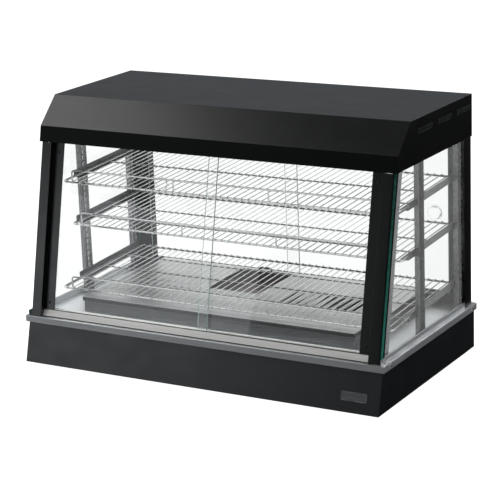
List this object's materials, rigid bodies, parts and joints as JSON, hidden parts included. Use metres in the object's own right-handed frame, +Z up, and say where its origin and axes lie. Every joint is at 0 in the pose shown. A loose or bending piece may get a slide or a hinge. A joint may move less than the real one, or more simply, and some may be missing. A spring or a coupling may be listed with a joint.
{
  "type": "hot food display case",
  "caption": "Countertop heated glass display case with sliding front and rear doors, wire shelves, a lit hood and rear controls.",
  "frame": {"origin": "middle of the footprint on the counter, under the feet", "axes": "+X to the customer's right along the case, front faces -Y, +Z up"},
  "size_m": [0.912, 0.5106, 0.6055],
  "materials": {
    "black_paint": "satin black powder coat",
    "stainless": "brushed stainless sheet",
    "bright_stainless": "bright stainless",
    "chrome_wire": "chrome-plated wire",
    "clear_glass": "clear tempered glass with polished green edges",
    "clear_plastic": "clear moulded finger cup",
    "black_plastic": "moulded, fine texture",
    "red_plastic": "glossy",
    "rubber": "moulded rubber",
    "lamp_glass": "frosted white lamp tube",
    "white_moulding": "heat-proof moulding",
    "element_sheath": "heat-darkened metal sheath"
  },
  "bodies": {
    "cabinet": {"base_shell": "black_paint", "hood_shell": "black_paint", "rear_bottom_track": "black_paint", "front_post_left": "black_paint", "front_post_right": "black_paint", "rear_post_left": "black_paint", "rear_post_right": "black_paint", "base_bottom_plate": "stainless", "deck_pan": "stainless", "heater_box": "stainless", "heater_cover": "stainless", "control_panel": "stainless", "front_jamb_left": "stainless", "front_jamb_right": "stainless", "shelf_rail_bottom_left": "stainless", "shelf_rail_bottom_right": "stainless", "shelf_rail_middle_left": "stainless", "shelf_rail_middle_right": "stainless", "shelf_rail_top_left": "stainless", "shelf_rail_top_right": "stainless", "water_pan": "bright_stainless", "front_bottom_track": "bright_stainless", "front_top_track": "bright_stainless", "rear_top_track": "bright_stainless", "hood_ceiling": "bright_stainless", "side_sill_left": "bright_stainless", "side_sill_right": "bright_stainless", "pilaster_front_left": "bright_stainless", "pilaster_front_right": "bright_stainless", "pilaster_rear_left": "bright_stainless", "pilaster_rear_right": "bright_stainless", "shelf_bottom": "chrome_wire", "shelf_middle": "chrome_wire", "shelf_top": "chrome_wire", "thermometer_case": "chrome_wire", "side_glass_left": "clear_glass", "side_glass_right": "clear_glass", "thermometer_lens": "clear_glass", "power_switch_body": "black_plastic", "light_switch_body": "black_plastic", "foot_front_left": "rubber", "foot_front_right": "rubber", "foot_rear_left": "rubber", "foot_rear_right": "rubber", "cord_gland": "rubber", "lamp_tube": "lamp_glass", "lamp_socket_left": "white_moulding", "lamp_socket_right": "white_moulding", "thermostat_body": "white_moulding", "heating_element": "element_sheath"},
    "front_door_left": {"front_door_left": "clear_glass"},
    "front_door_right": {"front_door_right": "clear_glass"},
    "rear_door_left": {"rear_door_left": "clear_glass", "rear_pull_left": "clear_plastic"},
    "rear_door_right": {"rear_door_right": "clear_glass", "rear_pull_right": "clear_plastic"},
    "thermostat_knob": {"thermostat_knob": "black_plastic"},
    "power_rocker": {"power_rocker": "red_plastic"},
    "light_rocker": {"light_rocker": "black_plastic"},
    "thermometer_needle": {"thermometer_needle": "red_plastic"}
  },
  "joints": [
    {"name": "front_door_left_slide", "type": "slide", "parent": "cabinet", "child": "front_door_left", "axis": [1, 0, 0], "range_m": [0, 0.399]},
    {"name": "front_door_right_slide", "type": "slide", "parent": "cabinet", "child": "front_door_right", "axis": [1, 0, 0], "range_m": [-0.399, 0]},
    {"name": "rear_door_left_slide", "type": "slide", "parent": "cabinet", "child": "rear_door_left", "axis": [1, 0, 0], "range_m": [0, 0.385]},
    {"name": "rear_door_right_slide", "type": "slide", "parent": "cabinet", "child": "rear_door_right", "axis": [1, 0, 0], "range_m": [-0.385, 0]},
    {"name": "thermostat_turn", "type": "hinge", "parent": "cabinet", "child": "thermostat_knob", "pos_m": [0.318, 0.24845, 0.06025], "axis": [0, 1, 0], "range_deg": [0, 270]},
    {"name": "power_rocker_tilt", "type": "hinge", "parent": "cabinet", "child": "power_rocker", "pos_m": [0.262, 0.24355, 0.06025], "axis": [1, 0, 0], "range_deg": [-14, 0]},
    {"name": "light_rocker_tilt", "type": "hinge", "parent": "cabinet", "child": "light_rocker", "pos_m": [0.226, 0.24355, 0.06025], "axis": [1, 0, 0], "range_deg": [-14, 0]},
    {"name": "thermometer_needle_turn", "type": "hinge", "parent": "cabinet", "child": "thermometer_needle", "pos_m": [0.172, 0.23975, 0.06025], "axis": [0, 1, 0], "range_deg": [0, 260], "stiffness_Nm_per_rad": 0.0005}
  ]
}
